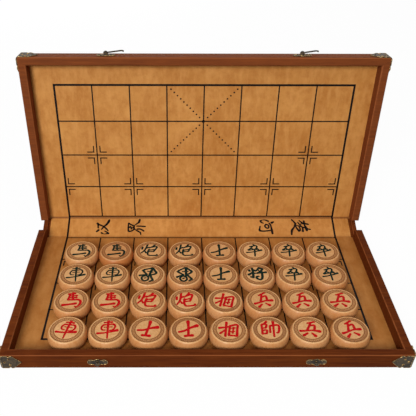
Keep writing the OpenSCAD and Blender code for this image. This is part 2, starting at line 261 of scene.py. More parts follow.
def stained_wood(name, slope, across, tint, share):
    """Stained hardwood with its grain along the box, or across it, on a tray that slopes."""
    made, tree = new_material(name)
    turn = math.radians(90) if across else 0
    grain_place = placed(tree, (0.06, 1, 1), slope, turn)
    streak = noise(tree, grain_place, 420, 6, 0.62)
    broad = noise(tree, grain_place, 70, 3)
    patch = noise(tree, placed(tree, slope=slope), 24, 3)
    pore = noise(tree, placed(tree, (0.05, 1, 1), slope, turn), 1500, 2)
    body = blend_colour(tree, ramp(tree, streak, 0.36, 0.66), colour(84, 34, 8), colour(120, 58, 20))
    body = tinted(tree, body, broad, 0.35, 0.7, 0.55, (94, 38, 10))
    body = tinted(tree, body, patch, 0.45, 0.75, 0.3, (132, 66, 24))
    body = tinted(tree, body, pore, 0.6, 0.75, 0.5, (50, 18, 8))
    # The tint is painted shade on the base and the spine, and painted light on the lid
    body = blend_colour(tree, share, body, colour(*tint))
    # The stain is rubbed off where the surface turns from one face to the next
    normal = placed(tree, slope=slope, socket="Normal", kind="NORMAL")
    facing = node(tree, "ShaderNodeVectorMath", {0: normal}, operation="ABSOLUTE")
    parts = node(tree, "ShaderNodeSeparateXYZ", {0: facing}).outputs
    most = maths(tree, "MAXIMUM", maths(tree, "MAXIMUM", parts[0], parts[1]), parts[2])
    rub = maths(tree, "MULTIPLY", ramp(tree, most, 0.97, 0.78, 0, 0.75),
                ramp(tree, noise(tree, grain_place, 160, 4), 0.3, 0.6, 0.35, 1))
    body = blend_colour(tree, rub, body, colour(158, 92, 52))
    finish_material(tree, body, ramp(tree, streak, 0.3, 0.7, 0.5, 0.65), streak, 0.1, specular=0.03)
    return made


def dress(name, material, edge):
    """Gives a node of the frame its material, and eased edges of a width in millimetres."""
    piece = frame["nodes"][name]
    piece.data.materials.clear()
    piece.data.materials.append(material)
    weld = piece.modifiers.new("weld", "WELD")
    weld.merge_threshold = 1e-6
    ease = piece.modifiers.new("ease", "BEVEL")
    ease.width, ease.segments, ease.limit_method = edge * MM, 2, "ANGLE"
    ease.angle_limit = math.radians(40)


# The base's wood is tinted darker than the lid's: painted shade on the base, and a little on the spine, and painted
# light on the lid
PAINTED_SHADE_TINT, PAINTED_LIGHT_TINT = (58, 30, 18), (160, 98, 62)
for tray, slope, tint, share in (("base", 0, PAINTED_SHADE_TINT, 0.24), ("lid", lid_slope, PAINTED_LIGHT_TINT, 0.2)):
    along, across = (stained_wood("stained_wood_" + tray + end, slope, bool(end), tint, share)
                     for end in ("", "_across"))
    dress(tray + "_panel", along, 0.3)
    dress(tray + "_front_rail", along, 0.35)
    for side in ("left", "right"):
        dress(f"{tray}_{side}_rail", across, 0.35)
spine_wood = stained_wood("stained_wood_spine", spine_slope, False, PAINTED_SHADE_TINT, 0.1)
dress("spine_board", spine_wood, 0.3)
for side in ("left", "right"):
    dress("spine_cheek_" + side, spine_wood, 0.2)


# Lining
# One sheet of thin tan leather-cloth is glued over both trays and the spine, and is itself the hinge.
# It is printed before it is glued down. Here it lies as three sheets with a soft strip over each fold.
def lining_leather(name, fold_shade, darkening=0.0):
    """Tan leather-cloth with a fine pebbled face. Painted shade darkens it by the shares given: over a whole tray, and
    along a fold.
    """
    made, tree = new_material(name)
    where = placed(tree)
    cloud = noise(tree, where, 20, 6, 0.62)
    mottle = noise(tree, where, 130, 5, 0.65)
    brushed_on = noise(tree, placed(tree, (1, 0.3, 0.3)), 170, 5, 0.6)
    pebble = node(tree, "ShaderNodeTexVoronoi", {"Vector": where, "Scale": 1300.0}, feature="SMOOTH_F1")
    body = blend_colour(tree, ramp(tree, cloud, 0.32, 0.68), colour(176, 114, 50), colour(200, 140, 72))
    body = tinted(tree, body, mottle, 0.42, 0.7, 0.42, (158, 92, 32))
    body = tinted(tree, body, brushed_on, 0.45, 0.72, 0.45, (214, 154, 86))
    # Painted shade: the base tray's lining is made darker than the lid's, though it is one sheet
    body = blend_colour(tree, darkening, body, colour(120, 60, 14))
    # Painted shade along a fold
    body = blend_colour(tree, fold_shade, body, colour(104, 54, 22))
    finish_material(tree, body, ramp(tree, mottle, 0.3, 0.7, 0.5, 0.62), pebble, 0.06, specular=0.2)
    return made


leather = lining_leather("tan_lining", 0.0)
# The base tray's lining carries painted shade
shaded_tray_leather = lining_leather("tan_lining_handled", 0.0, 0.36)
# The strips over the folds carry painted shade, lighter over the near fold
crease_leather = lining_leather("tan_lining_crease", 0.7)
soft_crease_leather = lining_leather("tan_lining_soft_crease", 0.3)

ink, tree = new_material("printing_ink")
wear = noise(tree, placed(tree), 500, 5, 0.65)
body = tinted(tree, colour(10, 7, 6), wear, 0.58, 0.78, 0.35, (70, 38, 18))
finish_material(tree, body, 0.5, wear, 0.02, specular=0.1)


def in_base(x, v, h):
    """A point of the base tray: v back from the fold to the front, h above the lining's face."""
    return (x, fold_1.y - v, fold_1.z + h)


def on_slope(fold, slope):
    """Places the points of a sloping part, v on from its fold and h above the lining's face."""
    c, s = math.cos(slope), math.sin(slope)
    return lambda x, v, h: (x, fold.y + v * c - h * s, fold.z + v * s + h * c)


in_spine, in_lid = on_slope(fold_1, spine_slope), on_slope(fold_2, lid_slope)
spine_width = (fold_2 - fold_1).length
liner_low, liner_high = (Vector(corner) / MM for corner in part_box("base_liner"))
spine_half = (Vector(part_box("spine_liner")[1]) / MM).x
LINER_T = liner_high.z - liner_low.z
FOLD_REACH = 1.4  # how far the soft strip runs to each side of a fold
tray_length = fold_1.y - liner_low.y


def slab(points, faces, corners, low, high, place):
    """Adds a flat outline, drawn anticlockwise, as a closed slab from low to high."""
    first, n = len(points), len(corners)
    points += [place(x, v, low) for x, v in corners] + [place(x, v, high) for x, v in corners]
    faces += [list(range(first + n, first + 2 * n)), list(range(first, first + n))[::-1]]
    faces += [(first + i, first + (i + 1) % n, first + n + (i + 1) % n, first + n + i) for i in range(n)]


def outward(piece):
    """Turns every face of a closed mesh outwards."""
    work = bmesh.new()
    work.from_mesh(piece.data)
    bmesh.ops.recalc_face_normals(work, faces=work.faces)
    work.to_mesh(piece.data)
    work.free()
    return piece


def sheet_of_lining(name, half, start, end, place, material):
    points, faces = [], []
    slab(points, faces, [(-half, start), (half, start), (half, end), (-half, end)], -LINER_T, 0, place)
    return outward(mesh_object(name, points, faces, [material]))


base_lining = sheet_of_lining("base_lining", liner_high.x, FOLD_REACH, tray_length, in_base, shaded_tray_leather)
lid_lining = sheet_of_lining("lid_lining", liner_high.x, FOLD_REACH, tray_length, in_lid, leather)
spine_lining = sheet_of_lining("spine_lining", spine_half, FOLD_REACH, spine_width - FOLD_REACH, in_spine, leather)


def over_fold(hinge, slope_before, slope_after):
    """Where a point of the soft strip lies: v before or after the fold, bent smoothly from the one slope to the other.
    """
    def at(slope, v, h):
        return Vector((v * math.cos(slope) - h * math.sin(slope), v * math.sin(slope) + h * math.cos(slope)))
    start, end = at(slope_before, -FOLD_REACH, 0), at(slope_after, FOLD_REACH, 0)
    way = end - start

    def place(x, v, h):
        share = 0.5
        for _ in range(60):  # each round brings the point and its share of the bend closer together
            spot = at(slope_before + share * (slope_after - slope_before), v, h)
            t = min(1, max(0, (spot - start).dot(way) / way.length_squared))
            share = t * t * (3 - 2 * t)
        return (x, hinge.y + spot.x, hinge.z + spot.y)
    ends = [Vector((0, hinge.y + p.x, hinge.z + p.y)) * MM for p in (start, end)]
    return place, ends


def strip_over_fold(name, x0, x1, low, high, material, place, columns=40, rows=14):
    """A closed strip that follows the fold, cut into rows fine enough to follow its bend."""
    along = [x0 + (x1 - x0) * i / columns for i in range(columns + 1)]
    across = [-FOLD_REACH + 2 * FOLD_REACH * j / rows for j in range(rows + 1)]
    points = [place(x, v, h) for h in (low, high) for x in along for v in across]
    faces = []

    def quad(*corners):
        """Adds a face whose corners are given as layer, column and row."""
        faces.append([(layer * (columns + 1) + i) * (rows + 1) + j for layer, i, j in corners])

    for i in range(columns):
        for j in range(rows):
            for layer in (0, 1):
                quad((layer, i, j), (layer, i + 1, j), (layer, i + 1, j + 1), (layer, i, j + 1))
        for j in (0, rows):
            quad((0, i, j), (0, i + 1, j), (1, i + 1, j), (1, i, j))
    for j in range(rows):
        for i in (0, columns):
            quad((0, i, j), (0, i, j + 1), (1, i, j + 1), (1, i, j))
    piece = outward(mesh_object(name, points, faces, [material], smooth=True))
    piece.data.set_sharp_from_angle(angle=math.radians(50))
    return piece


near_fold = over_fold(fold_1, 0, spine_slope)
far_fold = over_fold(fold_2, spine_slope, lid_slope)
FAR_END = liner_high.x + 2  # its ends are tucked under the round ends of the lid's rails
near_crease = strip_over_fold("near_crease", -spine_half, spine_half, -LINER_T, 0, soft_crease_leather, near_fold[0])
far_crease = strip_over_fold("far_crease", -FAR_END, FAR_END, -LINER_T, 0, crease_leather, far_fold[0])


# Printed board
# Half of the board is printed on each tray and the river on the spine, in one dark ink.
# The frame is bold and the inner lines are thin; cannon and soldier points carry corner marks.
SQUARE = 43
PRINT_SHIFT = 1.6  # the print sits a little right of the box's middle
BANK, BANK_LIP = 2.2, 0.7  # from the fold to the river bank's line, and from there to the line's near edge
BOLD, THIN = 2.4, 1.5
INK_LOW, INK_HIGH = -0.03, 0.05
FAR_RANK = BANK + 4 * SQUARE


def file_x(i):
    return (i - 4) * SQUARE + PRINT_SHIFT


def bar(points, faces, x0, v0, x1, v1, place):
    slab(points, faces, [(x0, v0), (x1, v0), (x1, v1), (x0, v1)], INK_LOW, INK_HIGH, place)


def geometry_tree(name, **inputs):
    """A geometry tree with inputs of the given kinds, and what it is given."""
    tree = bpy.data.node_groups.new(name, "GeometryNodeTree")
    for socket, kind in {"Geometry": "Geometry", **inputs}.items():
        tree.interface.new_socket(socket, in_out="INPUT", socket_type="NodeSocket" + kind)
    tree.interface.new_socket("Geometry", in_out="OUTPUT", socket_type="NodeSocketGeometry")
    return tree, node(tree, "NodeGroupInput").outputs


def end_tree(tree, real, material, **where):
    """Gives real geometry its material, on all faces or on a Selection, and ends the tree."""
    ended = node(tree, "GeometryNodeSetMaterial", {"Geometry": real, "Material": material, **where})
    node(tree, "NodeGroupOutput", {0: ended})
    return tree


def grow(name, seeds, tree, **inputs):
    """Runs a tree on an object and keeps what grows as a plain mesh object in its place."""
    modifier = seeds.modifiers.new("grow", "NODES")
    modifier.node_group = tree
    for socket in tree.interface.items_tree:
        if socket.name in inputs:
            modifier[socket.identifier] = inputs[socket.name]
    seeds.update_tag()
    bpy.context.view_layer.update()
    shown = seeds.evaluated_get(bpy.context.evaluated_depsgraph_get())
    made = put_in_scene(name, bpy.data.meshes.new_from_object(shown))
    bpy.data.objects.remove(seeds)
    return made


def repeat_tree(name, material):
    """A tree that puts one mark on each point of a mesh, turned by the point's own turn."""
    tree, given = geometry_tree(name, Mark="Object")
    mark = node(tree, "GeometryNodeObjectInfo", {"Object": given["Mark"]}).outputs["Geometry"]
    turn = node(tree, "GeometryNodeInputNamedAttribute", {"Name": "turn"}, data_type="FLOAT_VECTOR")
    set_out = node(tree, "GeometryNodeInstanceOnPoints", {
        "Points": given["Geometry"], "Instance": mark, "Rotation": turn})
    return end_tree(tree, node(tree, "GeometryNodeRealizeInstances", {0: set_out}), material)


def repeated(name, tree, mark, spots):
    """One mark on each spot, which is a place with a turn."""
    seeds = mesh_object(name + "_points", [place for place, _ in spots], [], [])
    attribute = seeds.data.attributes.new("turn", "FLOAT_VECTOR", "POINT")
    for value, (_, turn) in zip(attribute.data, spots):
        value.vector = turn
    return grow(name, seeds, tree, Mark=mark)


def flat_mark(name, outline):
    """A printed mark drawn round the origin, lying flat."""
    points, faces = [], []
    slab(points, faces, outline, INK_LOW, INK_HIGH, lambda x, v, h: (x, v, h))
    return outward(mesh_object(name, points, faces, [ink]))


def disc(x, v, r, n):
    return [(x + r * math.cos(math.tau * i / n), v + r * math.sin(math.tau * i / n)) for i in range(n)]


OFFSET, LEG, MARK_LINE = 3.2, 8.8, 1.4
inner, end = OFFSET + MARK_LINE, OFFSET + LEG
elbow = flat_mark("elbow", [(OFFSET, OFFSET), (end, OFFSET), (end, inner), (inner, inner), (inner, end), (OFFSET, end)])
DOT_R, PALACE_R = 1.0, 1.9  # the diagonals' dots, and the round point in the palace's middle
dot = flat_mark("dot", disc(0, 0, DOT_R, 12))
ink_tree = repeat_tree("printed_marks", ink)
DOTS, DOT_MARGIN = 10, 0.11  # dots on the diagonal of one square, and the bare share at each of its ends


def half_board(name, place, slope):
    """The print of one tray as one mesh, from the fold out to the far rank."""
    points, faces = [], []
    for i in range(9):
        w, start = (BOLD, FOLD_REACH) if i in (0, 8) else (THIN, BANK)
        bar(points, faces, file_x(i) - w / 2, start, file_x(i) + w / 2, FAR_RANK, place)
    for k in range(5):
        w, v = BOLD if k == 4 else THIN, BANK + k * SQUARE
        near = v - (w / 2 if k else BANK_LIP)
        bar(points, faces, file_x(0) - BOLD / 2, near, file_x(8) + BOLD / 2, v + w / 2, place)
    slab(points, faces, disc(file_x(4), FAR_RANK - SQUARE, PALACE_R, 24), INK_LOW, INK_HIGH, place)
    lines = mesh_object(name, points, faces, [ink])
    turned = []
    for k, files in ((2, (1, 7)), (1, (0, 2, 4, 6, 8))):
        for i in files:
            for quarter in {0: (0, 3), 8: (1, 2)}.get(i, range(4)):  # the outer files have marks inside alone
                stand = Matrix.Rotation(slope, 3, "X") @ Matrix.Rotation(quarter * math.pi / 2, 3, "Z")
                turned.append((place(file_x(i), BANK + k * SQUARE, 0), stand.to_euler()))
    spots = []
    for square in (0, 1):
        for i in range(DOTS):
            along = SQUARE * (square + DOT_MARGIN + (1 - 2 * DOT_MARGIN) * i / (DOTS - 1))
            for x in (file_x(3) + along, file_x(5) - along):
                spots.append((place(x, FAR_RANK - 2 * SQUARE + along, 0), (slope, 0, 0)))
    parts = [lines, repeated(name + "_corners", ink_tree, elbow, turned),
             repeated(name + "_dots", ink_tree, dot, spots)]
    bpy.context.view_layer.update()
    with bpy.context.temp_override(
            active_object=lines, object=lines, selected_objects=parts, selected_editable_objects=parts):
        bpy.ops.object.join()
    return outward(lines)


base_print = half_board("base_print", in_base, 0.0)
lid_print = half_board("lid_print", in_lid, lid_slope)
for pattern in (elbow, dot):
    bpy.data.objects.remove(pattern)


# River words
# Two words lie on each side of the river, turned to be read from the box's ends.
# They are brush-written characters, each stroke a thick-ended sweep of the brush.
STEPS = 5  # the points that a curve takes from one point of a stroke to the next
BLUNT = 0.75  # how far a stroke runs on past its end points, as a share of half its width


def swept(stroke, weight):
    """The way of one brush stroke through its points, with half its width at each, lean in its middle."""
    spans, path = len(stroke) - 1, []
    # A point may say how full the stroke is there; else it is full at its start
    fullness = [p[2] if len(p) > 2 else (1.15, 1.0)[i > 0] for i, p in enumerate(stroke)]
    for s in range(spans):
        p0, p1, p2, p3 = (Vector(stroke[min(max(s + o, 0), spans)][:2]) for o in (-1, 0, 1, 2))
        for i in range(STEPS):
            t = i / STEPS
            path.append(0.5 * (2 * p1 + (p2 - p0) * t + (2 * p0 - 5 * p1 + 4 * p2 - p3) * t * t
                               + (3 * p1 - p0 - 3 * p2 + p3) * t ** 3))
    path.append(Vector(stroke[-1][:2]))
    sweep, last = [], len(path) - 1
    for i, p in enumerate(path):
        span = min(i // STEPS, spans - 1)
        share = i / STEPS - span
        full = fullness[span] * (1 - share) + fullness[span + 1] * share
        sweep.append((p, weight / 2 * full * (0.85 + 0.15 * abs(2 * i / last - 1) ** 1.5)))
    return sweep


def brushed(sweep):
    """The outline of a stroke, with blunt ends."""
    left, right, last = [], [], len(sweep) - 1
    for i, (p, half) in enumerate(sweep):
        way = (sweep[min(i + 1, last)][0] - sweep[max(i - 1, 0)][0]).normalized()
        side = Vector((-way.y, way.x)) * half
        left.append(p + side)
        right.append(p - side)
        tip = way * half * BLUNT
        if i == 0:
            head = [p - tip + side * 0.5, p - tip - side * 0.5]
        if i == last:
            tail = [p + tip - side * 0.5, p + tip + side * 0.5]
    return [tuple(p) for p in head + right + tail + left[::-1]]


# The words as they lie on the spine, in millimetres right of and behind each word's own middle
river_words = {
    "han": [
        [(-5.2, 5.4, 1.4), (-3.8, 4)], [(-4.2, 4.6), (-4.2, 1.6), (-3.8, -1.6, 0.7)],
        [(-4, 4, 1), (0, 2.4), (3.4, 0.4), (7.2, -3.2), (9.4, -6, 0.5)],
        [(0.4, -3.6, 0.8), (3.4, 0.6), (6.8, 4.2, 1.4), (9, 8, 1.6), (9.8, 11)], [(-3.2, -4.6, 1.3), (-5.6, -7)],
        [(0.8, -8.8, 1.1), (1.8, -9.8)], [(0.6, -9.4, 0.6), (5, -10.6, 0.5), (9.2, -9.6, 0.9)],
        [(9.8, -9.8, 1.2), (7.4, -7.6), (4.4, -6, 0.4)]],
    "jie": [
        [(-8.6, 5.4, 1.3), (-7, 4.6), (-4, 2.8), (-1.6, 1.4, 1.1)], [(-8.8, 5.6, 0.8), (-9, 0), (-8.6, -6)],
        [(-8.6, -6, 1.1), (-6.4, -6.6), (-3, -5), (-0.6, -2.6, 0.9)], [(-1.6, 2, 1), (-1.4, -3.4)],
        [(-8.8, -1, 0.8), (-6, 0), (-4.4, -1.4), (-1.6, -0.6, 0.8)], [(-6.6, 1.4, 0.7), (-5.4, -0.8), (-5, -3.2, 0.7)],
        [(-0.4, 3, 0.6), (2.4, 5.4), (4.6, 7.6, 1.4), (5.6, 11.4, 1.1)], [(2, 1.4, 0.8), (7, 1.3), (13, 0.8, 0.9)],
        [(2.4, -3.2, 0.8), (6, -3), (8.4, -4), (11.4, -6.2, 0.9)],
        [(0.2, -4, 0.5), (4, -6.6), (6.8, -8.4), (7.6, -11.6, 0.6)]],
    "he": [
        [(-5, 9.8, 0.7), (-2, 11, 0.5), (2, 10.6), (5, 9, 1.1)], [(-5, 9.6, 1.3), (-4.4, 7.4), (-1.4, 5.8, 0.5)],
        [(9.2, 6.6, 1.5), (11.6, 8, 0.9)], [(5.8, 6, 0.9), (7.4, 3.4), (8, 0), (8.6, -5, 1.4), (9, -10, 1.1)],
        [(1.2, 4.2, 0.9), (4.2, 3), (5, 0), (3.6, -1.8), (1, -0.6), (0, 1.6), (1.4, 4, 0.9)],
        [(-6.2, 1.2, 0.7), (-7, -2), (-7.4, -4.8, 1.3)], [(-7.2, -5.6, 1.1), (-3, -6.2), (2, -5.8), (8, -5, 0.8)]],
    "chu": [
        [(-7.2, 11.4, 0.9), (-5, 8.6), (-2.6, 4.8, 1.2)],
        [(-3.4, 4.6, 0.9), (-5, 0), (-8.4, -5, 1.4), (-9.4, -11.4, 0.9)], [(-3, 3, 0.6), (-2.2, -1), (0.8, -5.8, 1.4)],
        [(-3, 2.6, 0.5), (1.6, 1.6), (5, 0.4, 0.7)], [(0.2, 7.6, 0.7), (2.4, 4.2), (4, 3, 0.8)],
        [(2.4, 10, 0.7), (6, 6.6), (7.4, 5)], [(8.4, 9.4, 1.1), (8.8, 4), (9.4, -1), (11, -5.2, 1.2)],
        [(4.4, 5.4, 0.7), (8, 5.8), (13.6, 4.2)], [(3.4, 1.4, 0.7), (6.6, -0.6), (9.6, -0.8, 0.9)],
        [(5.6, 0, 1), (5.8, -3), (5.6, -6.2, 1.4)], [(9.6, 1.4, 0.9), (12, -2.6), (15.6, -3.6, 0.8)],
        [(1.2, 0.8, 0.7), (2.4, -3), (1.8, -5.6)]]}
RIVER_WEIGHT = 2.5
points, faces = [], []
for word, middle in (("han", -128), ("jie", -84), ("he", 84.5), ("chu", 127.5)):
    for stroke in river_words[word]:
        outline = [(middle + x, spine_width / 2 + y) for x, y in brushed(swept(stroke, RIVER_WEIGHT))]
        slab(points, faces, outline, INK_LOW, INK_HIGH, in_spine)
for i in (0, 8):
    bar(points, faces, file_x(i) - BOLD / 2, FOLD_REACH, file_x(i) + BOLD / 2, spine_width - FOLD_REACH, in_spine)
spine_print = outward(mesh_object("spine_print", points, faces, [ink]))

crossings = []
for fold, (place, ends) in (("near", near_fold), ("far", far_fold)):
    for side, i in (("left", 0), ("right", 8)):
        crossings.append(strip_over_fold(
            f"{fold}_fold_print_{side}", file_x(i) - BOLD / 2, file_x(i) + BOLD / 2, INK_LOW, INK_HIGH, ink, place, 1))

for piece, body in ((base_lining, "base"), (spine_lining, "spine"), (lid_lining, "lid"),
                    (base_print, "base"), (spine_print, "spine"), (lid_print, "lid")):
    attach(piece, body)
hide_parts("base_liner")
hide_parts("spine_liner")
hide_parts("lid_liner")
near, far = (("base", "spine"), near_fold[1]), (("spine", "lid"), far_fold[1])
for piece, (bodies, ends) in zip([near_crease, far_crease] + crossings, (near, far, near, near, far, far)):
    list(bodies)
    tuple(ends[0])
    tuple(ends[1])
    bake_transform(piece)


# Bronze fittings
# Stamped sheet plates wrap the four corners and back the latches, with round-headed nails and riveted studs.
# They are darkened to an antique bronze, and handling has rubbed the raised parts and edges bright.
def antique_bronze(name, rub):
    """Darkened bronze, stained in patches and rubbed bright on its edges by the share rub."""
    made, tree = new_material(name)
    where = placed(tree)
    stain = noise(tree, where, 260, 6, 0.65)
    fine = noise(tree, where, 1800, 3)
    edges = node(tree, "ShaderNodeNewGeometry").outputs["Pointiness"]
    dark = blend_colour(tree, ramp(tree, stain, 0.42, 0.64), colour(20, 15, 11), colour(62, 50, 36))
    dark = tinted(tree, dark, edges, 0.52, 0.6, rub, (178, 150, 104))
    finish_material(tree, dark, ramp(tree, stain, 0.3, 0.7, 0.4, 0.6), fine, 0.12, metallic=0.6)
    return made


bronze = antique_bronze("antique_bronze", 0.4)
hook_bronze = antique_bronze("antique_bronze_hook", 0.06)

rubbed_bronze, tree = new_material("rubbed_bronze")
darkening = noise(tree, placed(tree), 700, 4)
body = blend_colour(tree, ramp(tree, darkening, 0.38, 0.58), colour(216, 178, 112), colour(72, 56, 36))
finish_material(tree, body, 0.36, darkening, 0.04, metallic=0.7)

PLATE_EASE, SMALL_EASE = 0.22, 0.16
for side in ("left", "right"):
    for name in ("corner_base_", "corner_lid_"):
        dress(name + side, bronze, PLATE_EASE)
    for name in ("catch_", "latch_plate_", "latch_rivet_"):
        dress(name + side, bronze, SMALL_EASE)
    dress("latch_hook_" + side, hook_bronze, SMALL_EASE)
for name in ("base_nails", "lid_nails"):
    dress(name, bronze, SMALL_EASE)

WELD = 2e-6  # points closer than this, in metres, are one
SPECK = 2e-6  # a level of a plate smaller than this, in square metres, gets no bead
BEAD_R = 0.25


def bead_tree():
    """A tree that lays a round bead along every edge it is given."""
    tree, given = geometry_tree("beads", Radius="Float")
    way = node(tree, "GeometryNodeMeshToCurve", {0: given["Geometry"]})
    section = node(tree, "GeometryNodeCurvePrimitiveCircle", {"Resolution": 8, "Radius": given["Radius"]})
    bead = node(tree, "GeometryNodeCurveToMesh", {"Curve": way, "Profile Curve": section})
    return end_tree(tree, node(tree, "GeometryNodeRealizeInstances", {0: bead}), rubbed_bronze)


def rim_of(names, ways):
    """Points and edges round the widest and the highest level of each plate, seen along the given ways."""
    points, edges = [], []
    for name in names:
        work = bmesh.new()
        work.from_mesh(frame["nodes"][name].data)
        bmesh.ops.remove_doubles(work, verts=work.verts, dist=WELD)
        outer = set()
        for way in ways:
            levels = {}
            for face in work.faces:
                if face.normal.dot(way) > 0.99:
                    levels.setdefault(round(face.calc_center_median().dot(way) / MM, 1), []).append(face)
            area = {k: sum(face.calc_area() for face in levels[k]) for k in levels}
            for k in levels:
                if area[k] > SPECK and (area[k] == max(area.values()) or k == max(levels)):
                    outer.update(levels[k])
        where = {}
        for edge in work.edges:
            if len(edge.link_faces) == 2 and sum(face in outer for face in edge.link_faces) == 1:
                for corner in edge.verts:
                    if corner not in where:
                        where[corner] = len(points)
                        points.append(corner.co / MM)
                edges.append([where[corner] for corner in edge.verts])
        work.free()
    return points, edges


# A bright raised bead runs round every plate and piercing, and round the head of each stud
beads = bead_tree()
lid_front = (0, math.cos(lid_slope), math.sin(lid_slope))
for tray, front, kinds in (
        ("base", (0, -1, 0), ("corner_base_", "catch_")), ("lid", lid_front, ("corner_lid_", "latch_plate_"))):
    plates = [kind + side for kind in kinds for side in ("left", "right")]
    points, edges = rim_of(plates, [Vector(way) for way in (front, (-1, 0, 0), (1, 0, 0))])
    ways = mesh_object(tray + "_rim_ways", points, [], [], edges=edges)
    rims = outward(grow(tray + "_plate_rims", ways, beads, Radius=BEAD_R * MM))
    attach(rims, tray)


# Turned pieces
# Each piece is a drum turned from pale wood, with a key-pattern band and its name cut into the top.
# The band is stained brown and the name is painted red or green; every piece is a little different in tone, and its
# sides are painted redder than its top as painted shade.
PIECE_R, PIECE_H, FOOT_R, BELLY_Z, TOP_R = 20.5, 16, 16.5, 9, 18
HOLLOW, HOLLOW_R = 0.25, 11  # the foot is turned a little hollow
FOOT_EASE, TOP_EASE, RINGS = 0.35, 0.3, 8  # the eased edges, and the rings of each half of the side
BAND_OUT, GROOVE, BAND_IN = 16.8, 0.5, 12.8
GROOVE_DEPTH, KEY_DEPTH = 0.3, 0.24
UNITS, COLUMNS = 24, 6  # units of the key pattern round the band, and columns in a unit
KEY = ("111110",
       "100010",
       "101110",
       "100000",
       "111111")
WOOD, PAINT, CUT, STAINED = range(4)  # the material of a face


def side_profile():
    """Radius and height from the foot's middle up to the edge of the flat top."""
    def bulge(end_r, rise, z):
        flare = PIECE_R - end_r
        side_r = (flare * flare + rise * rise) / (2 * flare)
        return PIECE_R - side_r + math.sqrt(side_r ** 2 - (rise - z) ** 2)
    line = [(0, HOLLOW), (HOLLOW_R, HOLLOW), (HOLLOW_R + 0.6, 0), (FOOT_R - 0.5, 0)]
    for i in range(RINGS + 1):
        z = FOOT_EASE + (BELLY_Z - FOOT_EASE) * i / RINGS
        line.append((bulge(FOOT_R, BELLY_Z, z), z))
    upper = PIECE_H - BELLY_Z
    for i in range(RINGS - 1, -1, -1):
        z = TOP_EASE + (upper - TOP_EASE) * i / RINGS
        line.append((bulge(TOP_R, upper, z), PIECE_H - z))
    line += [(TOP_R - 0.03, PIECE_H - 0.08), (TOP_R - 0.15, PIECE_H)]
    return line


def sector():
    """One unit of the key pattern with the slice of drum under it, as points, faces and what each face is."""
    step = 2 * math.pi / UNITS / COLUMNS
    points, faces, kinds, smooth = [], [], [], []

    def face(corners, kind, is_smooth=False):
        """Adds a face whose corners are given as radius, height and column."""
        first = len(points)
        points.extend((r * math.cos(c * step), r * math.sin(c * step), z) for r, z, c in corners)
        faces.append(list(range(first, len(points))))
        kinds.append(kind)
        smooth.append(is_smooth)

    profile = side_profile() + [(BAND_OUT, PIECE_H)]
    for c in range(COLUMNS):
        for i, ((r0, z0), (r1, z1)) in enumerate(zip(profile, profile[1:])):
            corners = [(r0, z0, c), (r0, z0, c + 1), (r1, z1, c + 1), (r1, z1, c)]
            face(corners[1:] if r0 == 0 else corners, WOOD, i > 3)
    # From outside in: a groove, the key pattern row by row, and another groove
    key_w = (BAND_OUT - BAND_IN - 2 * GROOVE) / len(KEY)
    rims = [BAND_OUT] + [BAND_OUT - GROOVE - key_w * k for k in range(len(KEY) + 1)] + [BAND_IN]
    groove = [GROOVE_DEPTH] * COLUMNS
    depth = [groove] + [[KEY_DEPTH * int(m) for m in row] for row in KEY] + [groove]
    for k, row in enumerate(depth):
        outer, inner = rims[k], rims[k + 1]
        for c in range(COLUMNS):
            here, beside = PIECE_H - row[c], PIECE_H - row[(c + 1) % COLUMNS]
            face([(outer, here, c), (outer, here, c + 1), (inner, here, c + 1), (inner, here, c)],
                 CUT if row[c] else STAINED)
            if beside != here:
                face([(outer, here, c + 1), (inner, here, c + 1), (inner, beside, c + 1), (outer, beside, c + 1)], CUT)
    for k, r in enumerate(rims):
        for c in range(COLUMNS):
            before = PIECE_H - (depth[k - 1][c] if k else 0)
            after = PIECE_H - (depth[k][c] if k < len(depth) else 0)
            if before != after:
                face([(r, before, c), (r, before, c + 1), (r, after, c + 1), (r, after, c)], CUT)
    return points, faces, kinds, smooth


def round_tree():
    """A tree that repeats a slice round the upright axis, joins the slices and gives plain faces the wood."""
    tree, given = geometry_tree("slices_round", Slices="Int", Wood="Material")
    spots = node(tree, "GeometryNodeMeshLine", {"Count": given["Slices"], "Offset": (0, 0, 0)})
    number = node(tree, "GeometryNodeInputIndex")
    angle = maths(tree, "MULTIPLY", maths(tree, "DIVIDE", number, given["Slices"]), 2 * math.pi)
    turn = node(tree, "ShaderNodeCombineXYZ", {"Z": angle})
    slices = node(tree, "GeometryNodeInstanceOnPoints", {
        "Points": spots, "Instance": given["Geometry"], "Rotation": turn})
    real = node(tree, "GeometryNodeRealizeInstances", {0: slices})
    closed = node(tree, "GeometryNodeMergeByDistance", {"Geometry": real, "Distance": WELD})
    plain = node(tree, "GeometryNodeInputNamedAttribute", {"Name": "plain"}, data_type="BOOLEAN")
    return end_tree(tree, closed, given["Wood"], Selection=plain)


def own(tree, name):
    """A value that each piece carries as an attribute of its mesh."""
    return node(tree, "ShaderNodeAttribute", attribute_name=name).outputs["Fac"]


